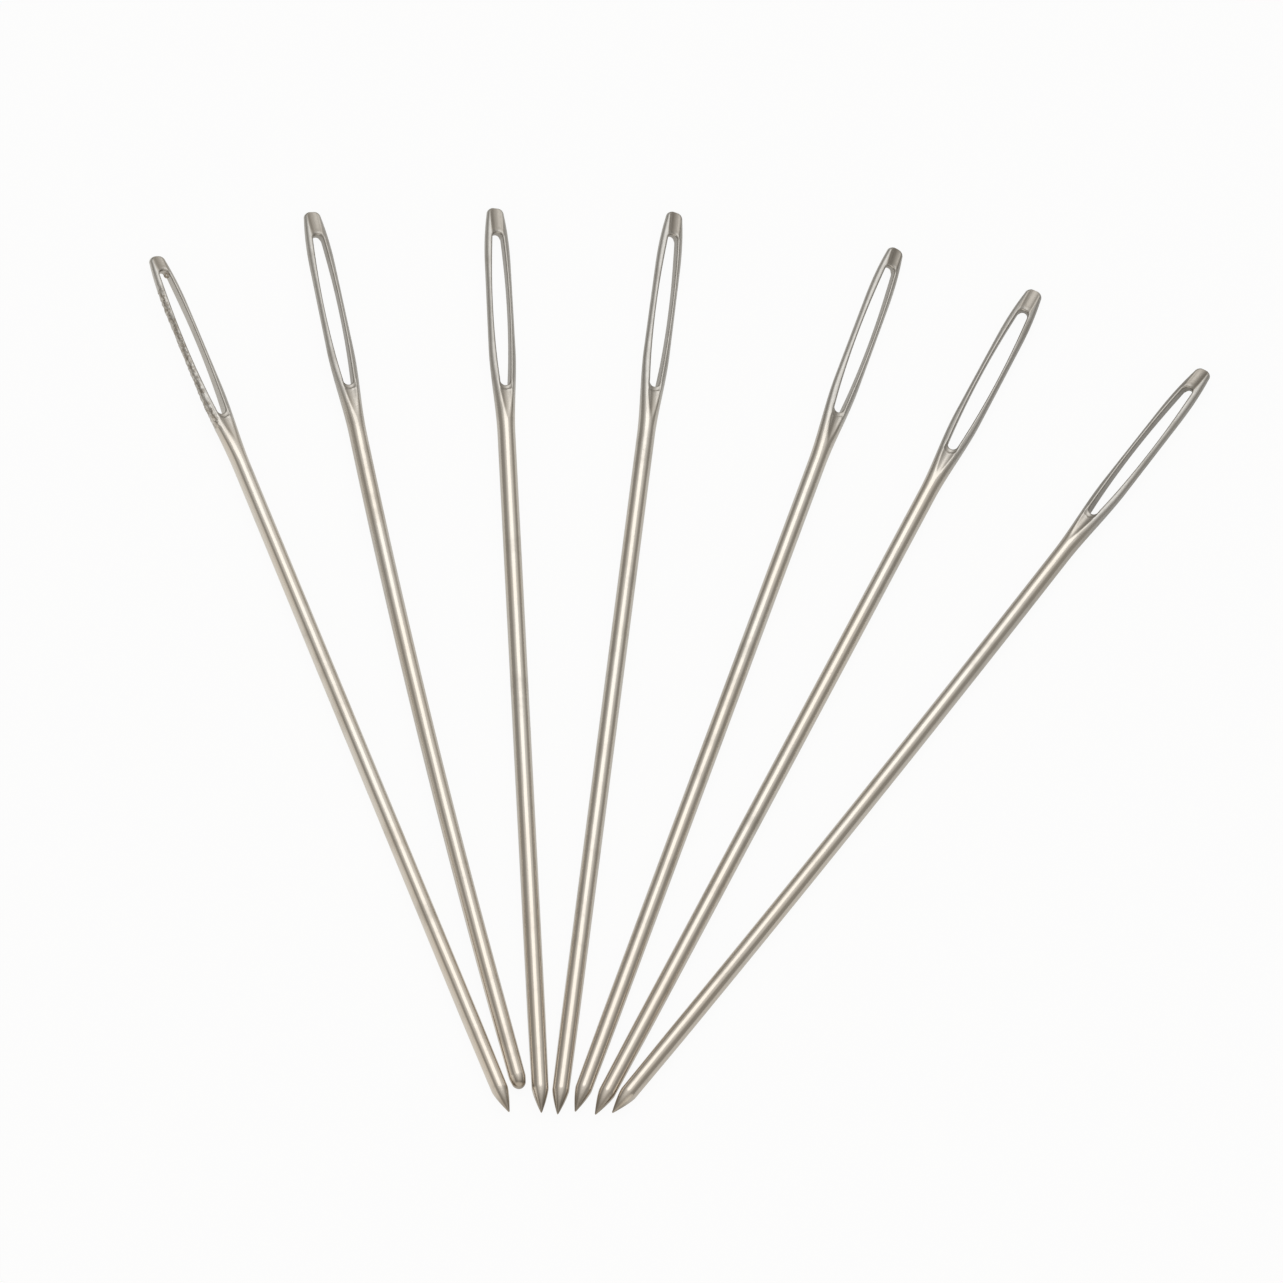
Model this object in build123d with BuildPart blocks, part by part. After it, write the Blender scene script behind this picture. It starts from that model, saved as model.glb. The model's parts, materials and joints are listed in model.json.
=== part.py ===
from build123d import *
from math import atan, cos, degrees, radians, sin
import os

# A set of seven large-eye yarn needles, laid side by side in a fan with their points in a row.
# Millimetres, +Z up. The surface that they lie on is Z = 0, +Y runs from the points to the heads,
# and the origin is under the middle of the fan.

# The wire
shank_diameter = 1.22
needle_length = 70.0

# The point: a ground cone, after a stretch where the wire is drawn down a little
point_length = 1.85
point_diameter = 1.15
tip_diameter = 0.07
lead_length = 5.5

# The head: the wire is stamped flat and wide
head_length = 17.5
head_width = 1.9
head_thickness = 0.88
# the width that the head has narrowed to by its end, before the nose is formed on it
head_end_width = 1.77
# the neck, from the round wire up to the full width
neck_length = 6.5
# the nose, where the head's end is drawn in
nose_length = 4.5
nose_width = 1.06
nose_thickness = 0.62
# its end is rounded off, more across the width than through the thickness
nose_corner = 0.36
nose_rounding = 0.2
nose_power = 2.3
# degrees from the widest point of a section round to where its side arc meets its face arc
section_turn = 70.0
section_count = 17
rounding_section_count = 5

# The eye: a long slot with round ends, widest at its middle
eye_inset = 1.78
eye_length = 11.85
eye_width = 1.16
eye_end_radius = 0.37

# The gutters: a channel pressed into each face, through the eye and fading out below it
gutter_width = 1.0
gutter_depth = 0.17
gutter_run_out = 2.7

# The fan, from the left. A lean is in degrees from +Y towards +X, and a roll is how many degrees the
# upper face of a head is turned towards +X.
leans = (-20.2, -12.27, -2.68, 6.5, 18.2, 25.3, 35.35)
rolls = (24.0, 16.0, 18.5, 27.0, 30.0, 5.0, -10.5)
# the clearance between each needle and the next, where their points reach full width
widest_point_gap = 0.39
point_gap_shares = (0.56, 0.36, 0.59, 0.74, 1.0, 0.11)
# how far each needle lies back from the row along itself, as shares of the point's length
set_back_shares = (0.114, 0.611, 0.076, 0.011, 0.119, 0.0, 0.092)
# what is worn off each point, as shares of its length
worn_shares = (0.0, 0.5, 0.0, 0.0, 0.0, 0.0, 0.0)
# how long each needle was cut, as shares of the needle's length
cut_shares = (1.0027, 1.0, 0.9968, 0.9993, 0.9994, 1.0019, 0.9987)
# how far along towards the nose each head's eye and gutters were stamped
longest_slip = 0.55
slip_shares = (1.0, -0.15, -0.33, -0.04, 0.53, 0.0, 0.0)
# how far the middle of each shank stands off the line between its ends, towards -X
deepest_bow = 0.31
bow_shares = (0.0, 1.0, 0.0, 0.0, 0.0, 0.0, -0.45)

# Worked out from these
shank_radius = shank_diameter / 2
point_radius = point_diameter / 2
tip_radius = tip_diameter / 2
parallel_start = point_length + lead_length
parallel_lengths = [needle_length * share - head_length - parallel_start for share in cut_shares]
eye_head = head_length - eye_inset
eye_foot = eye_head - eye_length
nose_drop = (head_thickness - nose_thickness) / 2
point_gaps = [widest_point_gap * share for share in point_gap_shares]
set_backs = [point_length * share for share in set_back_shares]
worn_lengths = [point_length * share for share in worn_shares]
bows = [deepest_bow * share for share in bow_shares]
slips = [longest_slip * share for share in slip_shares]
# each cut runs this far past what it cuts
overrun = shank_diameter


def side_radius(half_length, half_width, turn):
    """Radius of an oval's end arcs, where they meet its long arcs at this turn."""
    share = (1 - sin(radians(turn))) / cos(radians(turn))
    return (half_width - share * half_length) / (1 - share)


def turn_for(half_length, half_width, radius):
    """The turn that gives an oval's end arcs this radius."""
    return 90 - 2 * degrees(atan((half_width - radius) / (half_length - radius)))


def oval(half_length, half_width, turn):
    """Four arcs, each tangent to the next, in the line that is open."""
    radius = side_radius(half_length, half_width, turn)
    x = half_length - radius + radius * cos(radians(turn))
    y = radius * sin(radians(turn))
    ThreePointArc((x, -y), (half_length, 0), (x, y))
    ThreePointArc((x, y), (0, half_width), (-x, y))
    ThreePointArc((-x, y), (-half_length, 0), (-x, -y))
    ThreePointArc((-x, -y), (0, -half_width), (x, -y))


def head_section(place):
    """Place, width and thickness of the head's section this far up from the round wire."""
    neck_share = min(place / neck_length, 1)
    neck_share = neck_share**2 * (3 - 2 * neck_share)
    past_neck_share = max(place - neck_length, 0) / (head_length - neck_length)
    nose_share = max(1 - (head_length - place) / nose_length, 0) ** nose_power
    width = shank_diameter + (head_width - shank_diameter) * neck_share
    width += (head_end_width - head_width) * past_neck_share
    thickness = shank_diameter + (head_thickness - shank_diameter) * neck_share
    width += (nose_width - width) * nose_share
    thickness += (nose_thickness - thickness) * nose_share
    return place, width, thickness


def rounding_section(angle):
    """The same on the nose's rounded end, at this angle round from where the rounding starts."""
    start, width, thickness = head_section(head_length - nose_corner)
    inset_share = 1 - cos(radians(angle))
    width -= 2 * nose_corner * inset_share
    thickness -= 2 * nose_rounding * inset_share
    return start + nose_corner * sin(radians(angle)), width, thickness


# The head, stood on end: +Z is up the needle, X is across it and +Y is out of its upper face
head_sections = [
    head_section((head_length - nose_corner) * step / (section_count - 1)) for step in range(section_count)
]
rounding_sections = [
    rounding_section(90 * step / (rounding_section_count - 1)) for step in range(rounding_section_count)
]
with BuildPart() as blank:
    for sections in (head_sections, rounding_sections):
        for place, width, thickness in sections:
            with BuildSketch(Plane.XY.offset(place)):
                with BuildLine():
                    oval(width / 2, thickness / 2, section_turn)
                make_face()
        loft()


def make_head(slip):
    """The head with its gutters and its eye, all stamped this far along towards its nose."""
    foot = eye_foot + slip
    crown = eye_head + slip
    with BuildPart() as head:
        add(blank.part)

        # the gutters, each cut by a long round spindle that lies over its face
        spindle = ((gutter_width / 2) ** 2 + gutter_depth**2) / (2 * gutter_depth)
        height = head_thickness / 2 - gutter_depth + spindle
        for side in (1, -1):
            with BuildSketch(Plane.YZ):
                with BuildLine():
                    Polyline(
                        (side * height, foot - gutter_run_out),
                        (side * shank_radius, foot - gutter_run_out),
                        (side * (height - spindle), foot),
                        (side * (height - spindle), crown),
                        (side * (height - spindle - nose_drop), head_length),
                        (side * (height - spindle - nose_drop), head_length + overrun),
                        (side * height, head_length + overrun),
                        close=True,
                    )
                make_face()
            revolve(axis=Axis((0, side * height, 0), (0, 0, 1)), mode=Mode.SUBTRACT)

        # the eye
        with BuildSketch(Plane(origin=(0, 0, (crown + foot) / 2), x_dir=(0, 0, 1), z_dir=(0, 1, 0))):
            with BuildLine():
                turn = turn_for(eye_length / 2, eye_width / 2, eye_end_radius)
                oval(eye_length / 2, eye_width / 2, turn)
            make_face()
        extrude(amount=overrun, both=True, mode=Mode.SUBTRACT)
    return head


def half_turn(bow, parallel_length):
    """Degrees that a bowed shank turns in each half of its length."""
    return 2 * degrees(atan(2 * bow / parallel_length))


def rest_height(roll):
    """How high a needle's axis lies: on its shank, or on the edge of its head where that reaches lower."""
    radius = side_radius(head_width / 2, head_thickness / 2, section_turn)
    return max(shank_radius, (head_width / 2 - radius) * sin(radians(abs(roll))) + radius)


def square_plane(origin, lean, roll=0):
    """Square to a needle at this place: X is across the needle, and the normal runs to its head."""
    level = cos(radians(roll))
    across = (-level * cos(radians(lean)), level * sin(radians(lean)), sin(radians(roll)))
    along = (sin(radians(lean)), cos(radians(lean)), 0)
    return Plane(origin=origin, x_dir=across, z_dir=along)


def make_needle(tip, lean, roll, worn, bow, parallel_length, slip):
    """One needle. Its point would end at tip if nothing was worn off it."""
    swing = half_turn(bow, parallel_length)
    foot = square_plane(tip, lean - swing)
    with BuildPart() as needle:
        # the point, and the stretch that is drawn down to it
        with BuildSketch(Plane(origin=tip, x_dir=foot.z_dir, z_dir=(0, 0, 1))):
            with BuildLine():
                Polyline(
                    (worn, 0),
                    (worn, tip_radius + (point_radius - tip_radius) * worn / point_length),
                    (point_length, point_radius),
                    (parallel_start, shank_radius),
                    (parallel_start, 0),
                    close=True,
                )
            make_face()
        revolve(axis=Axis(tip, foot.z_dir))

        # the parallel stretch, straight or bowed along the surface that it lies on
        start = foot.offset(parallel_start)
        with BuildLine(Plane(origin=start.origin, x_dir=start.z_dir, z_dir=(0, 0, 1))) as path:
            if bow:
                JernArc((0, 0), (1, 0), parallel_length / radians(2 * abs(swing)), -2 * swing)
            else:
                Line((0, 0), (parallel_length, 0))
        with BuildSketch(start):
            Circle(shank_radius)
        sweep(path=path.line)

        # the head, turned about the needle's axis
        with Locations(square_plane(path.line @ 1, lean + swing, roll)):
            add(make_head(slip).part)
    return needle


# The fan, walked from the left: where each needle's line crosses the row of points
start_leans = [lean - half_turn(bow, run) for lean, bow, run in zip(leans, bows, parallel_lengths)]
crossings = [0.0]
for left, gap in enumerate(point_gaps):
    right = left + 1
    this_lean = radians(start_leans[left])
    next_lean = radians(start_leans[right])
    spread = sin(next_lean - this_lean)
    apart = point_diameter + gap
    from_next = (apart - (set_backs[right] + point_length) * spread) / cos(this_lean)
    from_this = (apart - (set_backs[left] + point_length) * spread) / cos(next_lean)
    crossings.append(crossings[left] + max(from_next, from_this))

needles = []
for place, crossing in enumerate(crossings):
    direction = radians(start_leans[place])
    across = crossing + set_backs[place] * sin(direction)
    back = set_backs[place] * cos(direction)
    needles.append(
        make_needle(
            (across, back, rest_height(rolls[place])),
            leans[place],
            rolls[place],
            worn_lengths[place],
            bows[place],
            parallel_lengths[place],
            slips[place],
        )
    )

boxes = [needle.part.bounding_box() for needle in needles]
middle_x = (min(box.min.X for box in boxes) + max(box.max.X for box in boxes)) / 2
middle_y = (min(box.min.Y for box in boxes) + max(box.max.Y for box in boxes)) / 2

os.makedirs("parts", exist_ok=True)
for number, needle in enumerate(needles, 1):
    with BuildPart() as placed:
        with Locations((-middle_x, -middle_y)):
            add(needle.part)
    placed.part.label = f"needle_{number}"
    export_step(placed.part, f"parts/needle_{number}.step")
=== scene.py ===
import json
from math import asin, atan, atan2, cos, pi, radians, sin, sqrt, tan

import bmesh
import bpy
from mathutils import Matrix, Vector, noise


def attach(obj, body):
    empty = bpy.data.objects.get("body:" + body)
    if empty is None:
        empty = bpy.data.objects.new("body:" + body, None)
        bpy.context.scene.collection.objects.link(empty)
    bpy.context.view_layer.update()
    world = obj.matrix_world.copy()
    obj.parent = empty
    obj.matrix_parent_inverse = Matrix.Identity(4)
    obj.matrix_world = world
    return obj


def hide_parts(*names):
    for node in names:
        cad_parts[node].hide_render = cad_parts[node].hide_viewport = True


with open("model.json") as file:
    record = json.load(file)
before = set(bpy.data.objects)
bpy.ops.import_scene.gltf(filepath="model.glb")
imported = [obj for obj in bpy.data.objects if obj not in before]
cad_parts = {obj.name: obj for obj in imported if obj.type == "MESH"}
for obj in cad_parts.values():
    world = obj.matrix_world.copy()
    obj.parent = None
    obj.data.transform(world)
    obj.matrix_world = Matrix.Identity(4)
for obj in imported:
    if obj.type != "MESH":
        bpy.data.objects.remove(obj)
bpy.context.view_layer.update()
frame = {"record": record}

# The camera
# It stands well back in front of the fan and looks down on it, so the needles hardly shrink with
# distance. The picture is square, and the fan fills it from side to side.
camera_distance = 2.6
camera_elevation = radians(61.5)
# pixels along the picture's side, and pixels to a metre in the middle of the fan
picture_side = 1283
picture_scale = 14740.0
looked_at = Vector((-0.002568, 0.001684, 0.0))

bpy.ops.object.select_all(action="DESELECT")
bpy.ops.object.camera_add(
    location=looked_at + camera_distance * Vector((0, -cos(camera_elevation), sin(camera_elevation))),
    rotation=(radians(90) - camera_elevation, 0, 0),
)
camera = bpy.context.object
camera.name = "camera"
camera.data.sensor_fit = "HORIZONTAL"
camera.data.angle = 2 * atan(picture_side / 2 / picture_scale / camera_distance)
camera.data.clip_end = 20
bpy.context.scene.camera = camera

# The wire blank
# A needle is one length of round steel wire. The blank is modelled once, standing on its point and
# in millimetres, with the rings of faces that its point, its head and its eye are shaped from.
wire_radius = 0.61
needle_length = 70.0
point_length = 1.85
lead_length = 5.5
head_length = 17.5
eye_length = 11.85
eye_inset = 1.78
eye_end_radius = 0.37
# how far the nose's corners are rounded, across its width
nose_corner = 0.43
# the edge of the eye is rolled over by this much
rim_radius = 0.14
# how far round the eye's end, from its middle, the corner of the hole in the mesh lies
hole_corner = radians(60)
wire_sides = 96
quarter_columns = wire_sides // 4
# columns of faces from the middle of a face to the eye's edge, and to the ridge beside it
eye_column = 7
ridge_column = 11
# bands of fine rings: up the very tip, each side of the cone's edge, and under the eye
tip_band = 0.12
cone_edge_band = 0.06
under_eye_band = 1.2
# places closer than this are one
near_enough = 0.001
# the blank is in millimetres, and the frame in metres
mm = 0.001

parallel_start = point_length + lead_length
head_foot = needle_length - head_length
eye_head = head_foot + head_length - eye_inset
eye_foot = eye_head - eye_length
hole_foot = eye_foot + eye_end_radius - (eye_end_radius + rim_radius) * cos(hole_corner)
hole_head = eye_head - (hole_foot - eye_foot)
# where each stretch of the blank ends, and how many rings of faces it has
stretches = (
    (tip_band, 4),
    (point_length - cone_edge_band, 16),
    (point_length + cone_edge_band, 3),
    (parallel_start, 12),
    (head_foot, 90),
    (hole_foot - under_eye_band, 24),
    (hole_foot, 15),
    (hole_head, 140),
    (needle_length - nose_corner, 20),
    (needle_length, 9),
)


def pick(kind, wanted):
    """In edit mode, select just those edges or faces that are wanted."""
    bpy.ops.mesh.select_mode(type=kind)
    bpy.ops.mesh.select_all(action="DESELECT")
    form = bmesh.from_edit_mesh(bpy.context.object.data)
    for part in {"EDGE": form.edges, "FACE": form.faces}[kind]:
        if wanted(part):
            part.select_set(True)
    bmesh.update_edit_mesh(bpy.context.object.data)


def column_of(x, y):
    """How many columns round from the middle of the nearer face this place on the round wire is."""
    return atan2(abs(x), abs(y)) / (pi / 2) * quarter_columns


def in_the_eye(face):
    middle = face.calc_center_median()
    return hole_foot < middle.z < hole_head and column_of(middle.x, middle.y) < eye_column


lowest = 0.0
tubes = []
for highest, rings in stretches:
    bpy.ops.mesh.primitive_cylinder_add(
        vertices=wire_sides,
        radius=wire_radius,
        depth=highest - lowest,
        end_fill_type="NOTHING",
        location=(0, 0, (lowest + highest) / 2),
    )
    bpy.ops.object.mode_set(mode="EDIT")
    pick("EDGE", lambda edge: abs(edge.verts[0].co.z - edge.verts[1].co.z) > near_enough)
    bpy.ops.mesh.subdivide(number_cuts=rings - 1)
    bpy.ops.object.mode_set(mode="OBJECT")
    tubes.append(bpy.context.object)
    lowest = highest
for tube in tubes:
    tube.select_set(True)
bpy.ops.object.join()
bpy.ops.object.transform_apply(location=True)
blank = bpy.context.object
blank.name = "wire_blank"
bpy.ops.object.mode_set(mode="EDIT")
bpy.ops.mesh.select_all(action="SELECT")
bpy.ops.mesh.remove_doubles(threshold=near_enough)
for end in (0, needle_length):
    pick("EDGE", lambda edge: all(abs(corner.co.z - end) < near_enough for corner in edge.verts))
    bpy.ops.mesh.edge_face_add()
pick("FACE", in_the_eye)
bpy.ops.mesh.delete(type="FACE")
bpy.ops.object.mode_set(mode="OBJECT")
# every place on the blank is kept with it, for the lines that the drawing die leaves along the wire
drawn = blank.data.attributes.new("drawn", "FLOAT_VECTOR", "POINT")
for corner, kept in zip(blank.data.vertices, drawn.data):
    kept.vector = corner.co

# The dies
# One blow flattens the wire into the neck, the head and the nose, the next presses a gutter into
# each face, and a punch takes out the eye, whose edge is rolled smooth. The points are ground, and one
# needle keeps the burr that the punch left and the scales on one wall.
point_radius = 0.575
tip_radius = 0.035
# the cone of the point is a little full, and its very end a little round
point_power = 1.3
tip_softness = 0.02
tip_end_share = 0.04
head_width = 1.9
head_thickness = 0.88
head_end_width = 1.77
neck_length = 6.5
nose_length = 4.5
nose_width = 1.06
nose_thickness = 0.62
nose_rounding = 0.2
nose_power = 2.3
section_turn = radians(70)
eye_width = 1.16
gutter_width = 1.0
gutter_depth = 0.17
gutter_run_out = 2.7
# how softly the gutter's edge is broken, and the least width of face between it and the eye
ridge_softness = 0.035
least_land = 0.04
# the rings of faces bend round the eye's ends over this length, and the columns reach their places
# this far under the eye
bulge_length = 0.7
settled_below = 1.5
# the small step that the punch pushes up across the gutter, under the eye
step_place = -0.33
step_length = 0.13
step_height = 0.05
roll_steps = 7
# the scales: how high and how fine they are, the strip that they cover along the head's edge, and
# how far under the eye's top and under its foot they end
pit_height = 0.045
pits_per_mm = 5.2
scaly_width = 0.34
scaly_blend = 0.12
scales_below_top = 0.9
scales_below_foot = 1.6
scales_run_out = 0.8
# the burr: a curl of metal across the eye's top
burr_radius = 0.15
burr_thickness = 0.07
burr_aside = -0.12
burr_out = 0.24
burr_below_top = 0.43
burr_turn = radians(72)

spindle = ((gutter_width / 2) ** 2 + gutter_depth**2) / (2 * gutter_depth)
spindle_height = head_thickness / 2 - gutter_depth + spindle
eye_middle = (eye_head + eye_foot) / 2
half_straight = eye_length / 2 - eye_end_radius
side_arc = (half_straight**2 + (eye_width / 2) ** 2 - eye_end_radius**2) / (eye_width - 2 * eye_end_radius)


def smooth(share):
    """A share from 0 to 1, eased in and out."""
    share = min(max(share, 0), 1)
    return share * share * (3 - 2 * share)


def head_section(place):
    """Half the width and half the thickness of the head, this far up from the round wire."""
    neck = smooth(place / neck_length)
    past_neck = max(place - neck_length, 0) / (head_length - neck_length)
    nose = max(1 - (head_length - place) / nose_length, 0) ** nose_power
    width = 2 * wire_radius + (head_width - 2 * wire_radius) * neck
    width += (head_end_width - head_width) * past_neck
    thickness = 2 * wire_radius + (head_thickness - 2 * wire_radius) * neck
    width += (nose_width - width) * nose
    thickness += (nose_thickness - thickness) * nose
    return width / 2, thickness / 2


def spindle_radius(place):
    """The radius of the gutter's die beside this place, counted from the eye's foot at no slip."""
    if place < 0:
        return spindle + (spindle_height - wire_radius - spindle) * min(-place / gutter_run_out, 1)
    past_eye = max(place - eye_length, 0) / eye_inset
    return spindle + (head_thickness - nose_thickness) / 2 * past_eye


def eye_half_width(place):
    """Half the width of the hole with its rolled edge, counted from the eye's foot."""
    out = abs(place - eye_length / 2)
    radius = eye_end_radius + rim_radius
    if out > half_straight:
        out = min(out - half_straight, radius * cos(hole_corner))
        return sqrt(radius**2 - out**2)
    return sqrt((side_arc + rim_radius) ** 2 - out**2) - (side_arc - eye_width / 2)


def stamp(corner, slip):
    """Where a place on the round blank goes under the dies. slip is how far up the eye was struck."""
    x, y, z = corner
    column = column_of(x, y)
    # the dies reach from the neck to the nose, and all that they slipped is taken up outside the eye
    below = smooth((z - head_foot) / (eye_foot - gutter_run_out / 2 - head_foot))
    above = smooth((needle_length - z) / (needle_length - eye_head))
    if z > head_foot:
        z += slip * below * above
    # the nose is rounded more across its width than through its thickness
    rounding = max((z - needle_length + nose_corner) / nose_corner, 0) * pi / 2
    if rounding > 0:
        z = needle_length - nose_corner + nose_corner * sin(rounding)
    place = z - head_foot
    if place <= 0:
        return x, y, z
    half_width, half_thickness = head_section(min(place, head_length - nose_corner))
    half_width -= nose_corner * (1 - cos(rounding))
    half_thickness -= nose_rounding * (1 - cos(rounding))
    ratio = (1 - sin(section_turn)) / cos(section_turn)
    side_radius = (half_thickness - ratio * half_width) / (1 - ratio)
    face_radius = side_radius + (half_width - side_radius) / cos(section_turn)
    face_centre = half_thickness - face_radius

    def tilt_at(across):
        if across < face_radius * cos(section_turn):
            return asin(across / face_radius)
        return asin(min((across - half_width + side_radius) / side_radius, 1))

    # where the columns of faces are moved to, so that some run along the eye and the ridge
    up_eye = z - eye_foot - slip
    die_radius = spindle_radius(up_eye)
    apart = spindle_height - face_centre
    reach = (die_radius**2 - face_radius**2 + apart**2) / (2 * apart)
    ridge = sqrt(max(die_radius**2 - reach**2, 0))
    edge = eye_half_width(up_eye)
    ridge = min(max(ridge, edge + least_land), half_width - side_radius / 2)
    outside = max(hole_foot - eye_foot - up_eye, up_eye - (hole_head - eye_foot))
    bulge = 1 - smooth(outside / bulge_length) if outside > -near_enough else 0
    if column <= eye_column:
        turn = hole_corner * column / eye_column
        across = edge * column / eye_column
        across += bulge * ((eye_end_radius + rim_radius) * sin(turn) - across)
        shift = bulge * (eye_end_radius + rim_radius) * (cos(turn) - cos(hole_corner))
        z += shift if up_eye > eye_length / 2 else -shift
        tilt = tilt_at(across)
    elif column <= ridge_column:
        tilt = tilt_at(edge + (ridge - edge) * (column - eye_column) / (ridge_column - eye_column))
    else:
        start = tilt_at(ridge)
        face_run = max(face_radius * (pi / 2 - section_turn - start), 0)
        side_run = side_radius * min(section_turn, pi / 2 - start)
        run = (face_run + side_run) * (column - ridge_column) / (quarter_columns - ridge_column)
        if run < face_run:
            tilt = start + run / face_radius
        else:
            tilt = pi / 2 - (face_run + side_run - run) / side_radius
    even = column / quarter_columns * pi / 2
    tilt = even + (tilt - even) * smooth(place / (eye_foot - head_foot - settled_below))

    # the blow that flattens the head, then the gutter's die
    if tilt < pi / 2 - section_turn:
        across = face_radius * sin(tilt)
        out = face_centre + face_radius * cos(tilt)
    else:
        across = half_width - side_radius + side_radius * sin(tilt)
        out = side_radius * cos(tilt)
    if across < die_radius and up_eye > -gutter_run_out:
        floor = spindle_height - sqrt(die_radius**2 - across**2)
        floor += step_height * max(1 - abs(up_eye - step_place) / step_length, 0)
        near = max(ridge_softness - abs(out - floor), 0) / ridge_softness
        out = min(out, floor) - near * near * ridge_softness / 4
    return (across if x > 0 else -across), (out if y > 0 else -out), z


def towards_eye(x, z, slip):
    """The way from the eye's edge into the eye, square to its outline."""
    up_middle = z - eye_middle - slip
    if abs(up_middle) > half_straight:
        way = Vector((x, 0, up_middle - (half_straight if up_middle > 0 else -half_straight)))
    else:
        centre = side_arc - eye_width / 2
        way = Vector((x + (centre if x > 0 else -centre), 0, up_middle))
    return -way.normalized()


def open_edges():
    """In edit mode, select the edges of the eye, which are open until its wall is made."""
    bpy.ops.mesh.select_mode(type="EDGE")
    bpy.ops.mesh.select_all(action="DESELECT")
    bpy.ops.mesh.select_non_manifold(
        extend=False, use_wire=False, use_multi_face=False, use_non_contiguous=False, use_verts=False
    )


def roll_the_edge(needle, slip):
    """Roll the eye's edge over from both faces, and join them down the wall of the eye."""
    bpy.ops.object.mode_set(mode="EDIT")
    open_edges()
    bpy.ops.object.mode_set(mode="OBJECT")
    # where the roll starts from, and how far the face leans away from the eye there
    for name, kind in (("roll_start", "FLOAT_VECTOR"), ("roll_lean", "FLOAT")):
        needle.data.attributes.new(name, kind, "POINT")
    starts = needle.data.attributes["roll_start"].data
    leans = needle.data.attributes["roll_lean"].data
    for corner, start, lean in zip(needle.data.vertices, starts, leans):
        if corner.select:
            start.vector = corner.co
            lean.value = -asin(corner.normal.dot(towards_eye(corner.co.x, corner.co.z, slip)))
    for step in range(1, roll_steps + 1):
        bpy.ops.object.mode_set(mode="EDIT")
        open_edges()
        bpy.ops.mesh.extrude_region_move()
        bpy.ops.object.mode_set(mode="OBJECT")
        starts = needle.data.attributes["roll_start"].data
        leans = needle.data.attributes["roll_lean"].data
        for corner, start, lean in zip(needle.data.vertices, starts, leans):
            if corner.select:
                begun = lean.value
                turned = begun - (begun + pi / 2) * step / roll_steps
                radius = rim_radius / (1 + sin(begun))
                inwards = radius * (sin(begun) - sin(turned))
                corner.co = start.vector + inwards * towards_eye(start.vector.x, start.vector.z, slip)
                down = radius * (cos(begun) - cos(turned))
                corner.co.y -= down if corner.co.y > 0 else -down
    bpy.ops.object.mode_set(mode="EDIT")
    open_edges()
    bpy.ops.mesh.bridge_edge_loops(number_cuts=3, smoothness=0)
    bpy.ops.mesh.select_all(action="SELECT")
    bpy.ops.mesh.normals_make_consistent(inside=False)
    bpy.ops.object.mode_set(mode="OBJECT")
    for name in ("roll_start", "roll_lean"):
        needle.data.attributes.remove(needle.data.attributes[name])


def grind(x, y, z, worn):
    """The cone of the point. worn is how much of it has gone, and the end is left a little round."""
    if z > parallel_start:
        return x, y, z
    if z < point_length:
        z = worn + (point_length - worn) * z / point_length
        radius = point_radius - (point_radius - tip_radius) * (1 - z / point_length) ** point_power
        blunt = point_radius - (point_radius - tip_radius) * (1 - worn / point_length) ** point_power
        depth = min((z - worn) / (blunt + tip_softness), 1)
        radius *= sqrt(max(1 - (1 - depth) ** 2, tip_end_share))
    else:
        radius = point_radius + (wire_radius - point_radius) * (z - point_length) / lead_length
    return x * radius / wire_radius, y * radius / wire_radius, z


def pit(corner, normal, slip):
    """The outer wall of the left-hand needle's head is scaly. How rough it is there, and the scales."""
    half_width = head_section(min(corner.z - head_foot, head_length - nose_corner))[0]
    outer = smooth((corner.x - half_width + scaly_width) / scaly_blend)
    under_top = smooth((eye_head + slip - scales_below_top - corner.z) / scales_run_out)
    over_foot = smooth((corner.z - eye_foot - slip + scales_below_foot) / scales_run_out)
    rough = outer * (under_top * over_foot)
    corner += normal * pit_height * rough * noise.noise(corner * pits_per_mm)
    return rough


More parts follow.
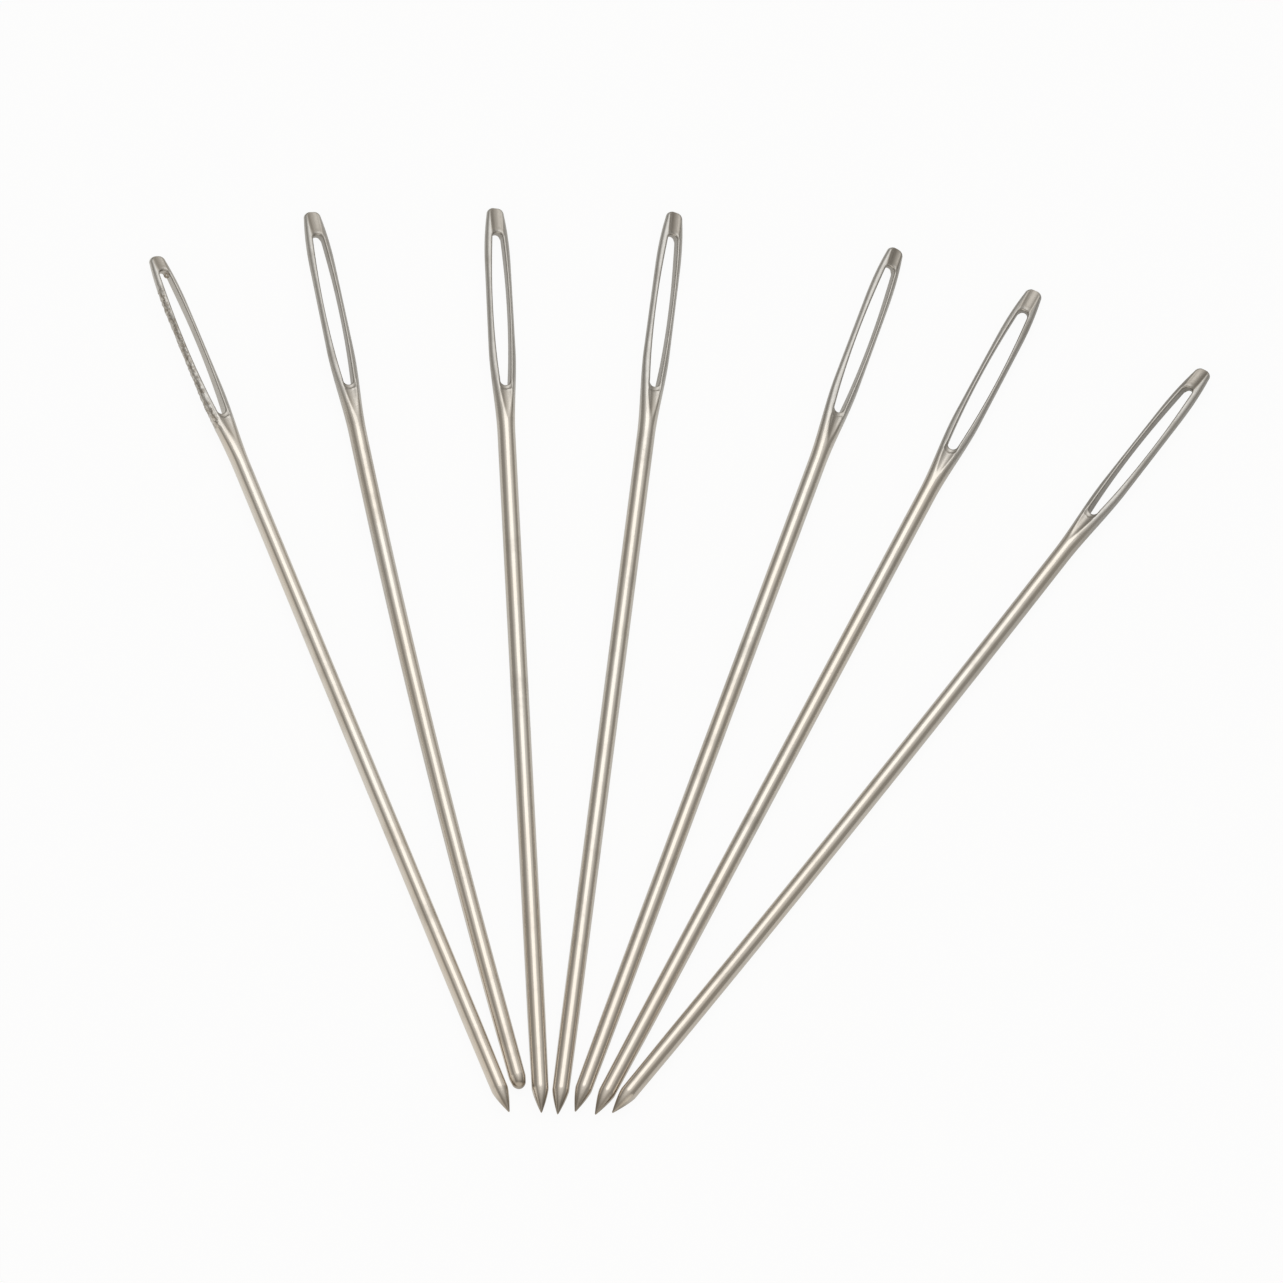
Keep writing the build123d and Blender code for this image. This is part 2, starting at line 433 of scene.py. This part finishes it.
# The seven needles
# They are struck from the same dies, but not quite alike: each has its own length, its eye was
# struck a little higher or lower, and two shanks are bowed. All of them lie flat, fanned out.
# number: (how much longer than the rest, slip of the eye, bow of the shank, worn off the point)
needle_differences = {
    1: (0.189, 0.55, 0.0, 0.0),
    2: (0.0, -0.0825, 0.31, 0.925),
    3: (-0.224, -0.1815, 0.0, 0.0),
    4: (-0.049, -0.022, 0.0, 0.0),
    5: (-0.042, 0.2915, 0.0, 0.0),
    6: (0.133, 0.0, 0.0, 0.0),
    7: (-0.091, 0.0, -0.1395, 0.0),
}
mounts = {mount["name"]: mount for mount in frame["record"]["mounts"]}
up = Vector((0, 0, 1))
needles = []
for number, (extra, slip, bow, worn) in needle_differences.items():
    bpy.ops.object.select_all(action="DESELECT")
    blank.select_set(True)
    bpy.context.view_layer.objects.active = blank
    bpy.ops.object.duplicate()
    needle = bpy.context.object
    needle.name = f"yarn_needle_{number}"
    needle.data.name = needle.name
    for corner in needle.data.vertices:
        corner.co = grind(*stamp(corner.co, slip), worn)
    roll_the_edge(needle, slip)
    roughness = needle.data.attributes.new("scaly", "FLOAT", "POINT")
    if number == 1:
        for corner, kept in zip(needle.data.vertices, roughness.data):
            if corner.co.z > head_foot:
                kept.value = pit(corner.co, corner.normal, slip)
        bpy.ops.mesh.primitive_torus_add(
            major_radius=burr_radius,
            minor_radius=burr_thickness,
            major_segments=32,
            minor_segments=14,
            location=(burr_aside, burr_out, eye_head + slip - burr_below_top),
            rotation=(burr_turn, 0, 0),
        )
        needle.select_set(True)
        bpy.context.view_layer.objects.active = needle
        bpy.ops.object.join()

    # the eye's ends say where the head lies, and the shank follows it down to the point
    head_end = Vector(mounts[f"needle_{number}_eye_head_end"]["pos_m"])
    shank_end = Vector(mounts[f"needle_{number}_eye_shank_end"]["pos_m"])
    outwards = Vector(mounts[f"needle_{number}_eye_head_end"]["axis"])
    along = (head_end - shank_end).normalized()
    across = outwards.cross(along)
    beside = along.cross(up)
    parallel_length = head_foot - parallel_start + extra
    swing = 2 * atan(2 * bow / parallel_length)
    foot_place = head_end - along * mm * (eye_head + slip - eye_end_radius - head_foot)
    for corner in needle.data.vertices:
        x, y, z = corner.co
        aside = across * x + outwards * y
        back = head_foot - z
        if back <= 0:
            place = aside - along * back
        else:
            # the parallel stretch takes up what one needle is longer than another
            back += extra * min(back / (head_foot - parallel_start), 1)
            bent = min(back, parallel_length)
            turn = 2 * swing * bent / parallel_length
            heading = along * cos(turn) - beside * sin(turn)
            sideways = beside * cos(turn) + along * sin(turn)
            place = -along * bent
            if bow:
                bow_radius = parallel_length / (2 * swing)
                place = beside * bow_radius * (1 - cos(turn)) - along * bow_radius * sin(turn)
            place += sideways * aside.dot(beside) + up * aside.z - heading * (back - bent)
        corner.co = foot_place + place * mm
    needle.data.update()
    bpy.ops.object.shade_smooth_by_angle(angle=radians(40))
    needles.append(needle)
    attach(needle, f"needle_{number}")
    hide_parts(f"needle_{number}")
bpy.data.objects.remove(blank)


# The plating
# Nickel plate over drawn steel: bright and a little warm, with the fine lines of the drawing die
# along the wire and handling marks. Painted shade darkens the head, the channel on the nose and the
# gutter under the eye, a painted dark reflection darkens the ground cone, and a painted warm
# reflection warms the lower half towards the point.
class Finish:
    """What a shader node gives. Sums and products that are written with it add their nodes."""

    tree = None

    def __init__(self, socket):
        self.socket = socket

    @classmethod
    def node(cls, kind, settings=None, values=None, output=0):
        """Add any other node: its settings first, then the values or links of its sockets."""
        made = cls.tree.nodes.new(kind)
        for name, value in (settings or {}).items():
            setattr(made, name, value)
        for name, value in (values or {}).items():
            if isinstance(value, Finish):
                cls.tree.links.new(value.socket, made.inputs[name])
            else:
                made.inputs[name].default_value = value
        return cls(made.outputs[output])

    def sum(self, operation, other, turned=False):
        pair = (other, self) if turned else (self, other)
        return self.node("ShaderNodeMath", {"operation": operation}, {0: pair[0], 1: pair[1]})

    def __add__(self, other):
        return self.sum("ADD", other)

    def __radd__(self, other):
        return self.sum("ADD", other, True)

    def __sub__(self, other):
        return self.sum("SUBTRACT", other)

    def __rsub__(self, other):
        return self.sum("SUBTRACT", other, True)

    def __mul__(self, other):
        return self.sum("MULTIPLY", other)

    def __rmul__(self, other):
        return self.sum("MULTIPLY", other, True)


bright_plate = (0.665, 0.63, 0.575, 1)
warm_plate = (0.66, 0.61, 0.54, 1)
# painted shade: a darker, greyer plate on the head, for the darker reflections on its walls
head_painted_shade = (0.57, 0.565, 0.545, 1)
# painted reflection: a warmer, browner plate towards the point, for the warm things that the metal mirrors
# there
point_warm_reflection = (0.66, 0.59, 0.51, 1)
dull_grey = (0.33, 0.3, 0.26, 1)
# painted shade: the dark grey laid in the channel, the gutter and on the cone
recess_and_cone_painted_shade = (0.3, 0.26, 0.21, 1)
# how fine the lines and stains are, to a millimetre of wire, and to a metre where they are even
drawn_grain = (9.0, 9.0, 0.12)
ground_grain = (1.5, 1.5, 22.0)
pressed_grain = (2.4, 2.4, 1.6)
cloud_grain = 420.0
mark_grain = 5200.0
scale_grain = 3600.0
warmth_grain = 130.0
# where each look sets in and where it is full, in millimetres up the needle or out from its middle
head_look = (head_foot + 0.5, head_foot + 5.0)
warm_reflection_span = (2.0, 34.0)
cone_edge = (1.7, 1.9)
dark_cone_span = (0.5, 1.7)
channel_edge = (0.22, 0.4)
channel_foot = (eye_head - 0.3, eye_head + 0.2)
gutter_foot = (eye_foot - 2.6, eye_foot - 1.4)
# how high the lines and scales stand, in metres
relief_height = 0.00003

plating = bpy.data.materials.new("nickel_plate")
plating.use_nodes = True
Finish.tree = plating.node_tree
shader = plating.node_tree.nodes["Principled BSDF"]
shader.inputs["Metallic"].default_value = 1.0
drawn_place = Finish.node("ShaderNodeAttribute", {"attribute_name": "drawn"}, output="Vector")
in_metres = Finish.node("ShaderNodeTexCoord", output="Object")


def rescaled(place, scale):
    return Finish.node("ShaderNodeMapping", {"vector_type": "POINT"}, {"Vector": place, "Scale": scale})


def speckle(place, scale, detail=3.0, roughness=0.55):
    values = {"Vector": place, "Scale": scale, "Detail": detail, "Roughness": roughness}
    return Finish.node("ShaderNodeTexNoise", {}, values, output="Fac")


def between(value, low, high):
    """0 below low, 1 above high."""
    values = {"Value": value, "From Min": low, "From Max": high}
    return Finish.node("ShaderNodeMapRange", {"interpolation_type": "SMOOTHSTEP"}, values)


def mixed(factor, first, second):
    """One colour worked over another."""
    values = {"Factor": factor, 6: first, 7: second}
    return Finish.node("ShaderNodeMix", {"data_type": "RGBA"}, values, output=2)


apart = plating.node_tree.nodes.new("ShaderNodeSeparateXYZ")
plating.node_tree.links.new(drawn_place.socket, apart.inputs[0])
up_needle = Finish(apart.outputs["Z"])
at_head = between(up_needle, *head_look)
near_point = 1 - between(up_needle, *warm_reflection_span)
draw_lines = speckle(rescaled(drawn_place, drawn_grain), 1.0, 4.0, 0.6)
grind_lines = speckle(rescaled(drawn_place, ground_grain), 1.0, 3.0) * (1 - between(up_needle, *cone_edge))
tarnish = between(speckle(in_metres, cloud_grain, 4.0), 0.5, 0.78)
pressed = speckle(rescaled(drawn_place, pressed_grain), 1.0, 3.0) * at_head
marks = between(speckle(in_metres, mark_grain, 2.0), 0.68, 0.78)
scaly = Finish.node("ShaderNodeAttribute", {"attribute_name": "scaly"}, output="Fac")
scales = scaly * speckle(in_metres, scale_grain, 2.0, 0.7)
# painted shade lies in the channel on the nose and in the gutter under the eye, and a painted dark
# reflection on the ground cone
off_middle = Finish.node("ShaderNodeMath", {"operation": "ABSOLUTE"}, {0: Finish(apart.outputs["X"])})
along_middle = 1 - between(off_middle, *channel_edge)
channel = along_middle * between(up_needle, *channel_foot)
gutter = along_middle * between(up_needle, *gutter_foot)
on_cone = 1 - between(up_needle, *dark_cone_span)
painted_shade_share = channel * 0.55 + gutter * (1 - channel) * 0.25 + on_cone * 0.75
warmth = between(speckle(in_metres, warmth_grain, 2.0), 0.35, 0.7)
colour = mixed(warmth, bright_plate, warm_plate)
# painted shade: the head is painted darker and greyer than the shank
colour = mixed(at_head * 0.85, colour, head_painted_shade)
# painted reflection: the lower half of each needle, towards the point, is painted warmer
colour = mixed(near_point * 0.5, colour, point_warm_reflection)
grey = tarnish * 0.3 + marks * 0.25 + pressed * 0.3 + between(scales, 0.4, 0.6) * 0.75
colour = mixed(grey, colour, dull_grey)
# painted shade in the channel and gutter, and a painted dark reflection on the cone
colour = mixed(painted_shade_share, colour, recess_and_cone_painted_shade)
roughness = 0.13 + 0.08 * draw_lines + 0.08 * tarnish + 0.1 * marks + 0.12 * at_head + 0.1 * pressed
relief = draw_lines - 0.3 * marks + grind_lines + 1.5 * pressed + 5.0 * scales
bump = Finish.node("ShaderNodeBump", {}, {"Strength": 0.2, "Distance": relief_height, "Height": relief})
Finish.tree.links.new(colour.socket, shader.inputs["Base Color"])
Finish.tree.links.new(roughness.socket, shader.inputs["Roughness"])
Finish.tree.links.new(bump.socket, shader.inputs["Normal"])
for needle in needles:
    needle.data.materials.clear()
    needle.data.materials.append(plating)

# The white sheet
# The needles lie on a plain white sheet that has no edge in the picture. It is plain white to the
# eye, a little dimmer and warmer in the metal, and takes the needles' own soft shadows.
plain_white = (1, 1, 1, 1)
mirrored_white = (1, 0.985, 0.955, 1)
lit_white = (0.9, 0.9, 0.9, 1)
# how much of the sheet's look is its own glow, to the eye and in the metal. The light gives the rest
seen_share = 0.93
mirrored_share = 0.75
# in the metal, the sheet holds painted shade: the open sheet to the left of the fan is the brightest,
# the sheet among the needles is painted dimmer, and the sheet at the right dimmer still, for the
# needles' shade there. In metres: how far the fan's left edge goes to the left with each metre up
# the sheet, where the open sheet starts, and where the right does
edge_slant = 0.368
open_sheet = (0.0215, 0.024)
right_sheet = (0.012, 0.03)
dimmed = 0.27
dimmed_at_right = 0.25

bpy.ops.object.select_all(action="DESELECT")
bpy.ops.mesh.primitive_plane_add(size=6, location=(0, 0, 0))
sheet = bpy.context.object
sheet.name = "white_sheet"
paper = bpy.data.materials.new("white_paper")
paper.use_nodes = True
Finish.tree = paper.node_tree
paper.node_tree.nodes.clear()
path = paper.node_tree.nodes.new("ShaderNodeLightPath")
seen = Finish(path.outputs["Is Camera Ray"])
mirrored = Finish(path.outputs["Is Glossy Ray"])
parts = paper.node_tree.nodes.new("ShaderNodeSeparateXYZ")
paper.node_tree.links.new(Finish.node("ShaderNodeTexCoord", output="Object").socket, parts.inputs[0])
rightwards = Finish(parts.outputs["X"])
left_of_fan = (rightwards + edge_slant * Finish(parts.outputs["Y"])) * -1.0
# painted shade: in the metal the sheet is dimmer among the needles and at the right
dimmer = dimmed + dimmed_at_right * between(rightwards, *right_sheet)
strength = 1.0 - mirrored * dimmer * (1 - between(left_of_fan, *open_sheet))
tint = mixed(mirrored, plain_white, mirrored_white)
white = Finish.node("ShaderNodeEmission", {}, {"Color": tint, "Strength": strength})
lit = Finish.node("ShaderNodeBsdfDiffuse", {}, {"Color": lit_white})
share = seen * seen_share + mirrored * mirrored_share
both = Finish.node("ShaderNodeMixShader", {}, {0: share, 1: lit, 2: white})
output = paper.node_tree.nodes.new("ShaderNodeOutputMaterial")
paper.node_tree.links.new(both.socket, output.inputs["Surface"])
sheet.data.materials.append(paper)

# The light
# One round soft box hangs over the far side of the fan and lays the bright line along every needle.
# The room is dim above the sheet, a little brighter behind the camera.
box_way = Vector((0.08, 0.47, 0.88)).normalized()
box_distance = 1.5
box_spread = radians(19)
box_glow = 0.76
room_glow = 0.34
room_white = (1, 0.955, 0.885, 1)
# the ceiling round the box is lit by it, most near the box. The spreads are in degrees from the way
# to a bright place, out to where its glow ends and out to where it is full
ceiling_way = Vector((0.12, 0.43, 0.895)).normalized()
ceiling_spread = (56, 14)
ceiling_glow = 0.5
ceiling_white = (1, 0.99, 0.97, 1)
# light walls low down, behind the fan at the right and in front of it at the left
right_wall_way = Vector((0.45, 0.85, 0.3)).normalized()
right_wall_spread = (30, 8)
right_wall_glow = 0.3
left_wall_way = Vector((-0.95, -0.15, 0.2)).normalized()
left_wall_spread = (31, 9)
left_wall_glow = 0.58
# the room behind the camera, as far round as this
behind_reach = (0.25, 0.75)
behind_glow = 0.7

bpy.ops.object.light_add(type="AREA", location=box_way * box_distance)
box = bpy.context.object
box.name = "soft_box"
box.data.shape = "DISK"
box.data.size = 2 * box_distance * tan(box_spread)
box.rotation_euler = box_way.to_track_quat("Z", "Y").to_euler()
box.data.energy = box_glow * pi * pi * (box.data.size / 2) ** 2

world = bpy.data.worlds.new("room")
bpy.context.scene.world = world
world.use_nodes = True
Finish.tree = world.node_tree
world.node_tree.nodes.clear()
way = Finish.node("ShaderNodeTexCoord", output="Generated")
parts = world.node_tree.nodes.new("ShaderNodeSeparateXYZ")
world.node_tree.links.new(way.socket, parts.inputs[0])
behind_camera = between(Finish(parts.outputs["Y"]) * -1.0, *behind_reach)
path = world.node_tree.nodes.new("ShaderNodeLightPath")
seen = Finish(path.outputs["Is Camera Ray"])


def round_about(direction, outer, inner):
    """1 within the inner angle of a direction, and 0 beyond the outer one."""
    values = {0: way, 1: direction}
    nearness = Finish.node("ShaderNodeVectorMath", {"operation": "DOT_PRODUCT"}, values, output="Value")
    return between(nearness, cos(radians(outer)), cos(radians(inner)))


ceiling = round_about(ceiling_way, *ceiling_spread)
right_wall = round_about(right_wall_way, *right_wall_spread)
left_wall = round_about(left_wall_way, *left_wall_spread)
glow = room_glow + ceiling_glow * ceiling + behind_glow * behind_camera
glow = glow + right_wall_glow * right_wall + left_wall_glow * left_wall
glow = glow * (1 - seen) + seen
tint = mixed(ceiling, room_white, ceiling_white)
tint = mixed(seen, tint, plain_white)
room = Finish.node("ShaderNodeBackground", {}, {"Color": tint, "Strength": glow})
output = world.node_tree.nodes.new("ShaderNodeOutputWorld")
world.node_tree.links.new(room.socket, output.inputs["Surface"])

bpy.context.scene.view_settings.view_transform = "Standard"
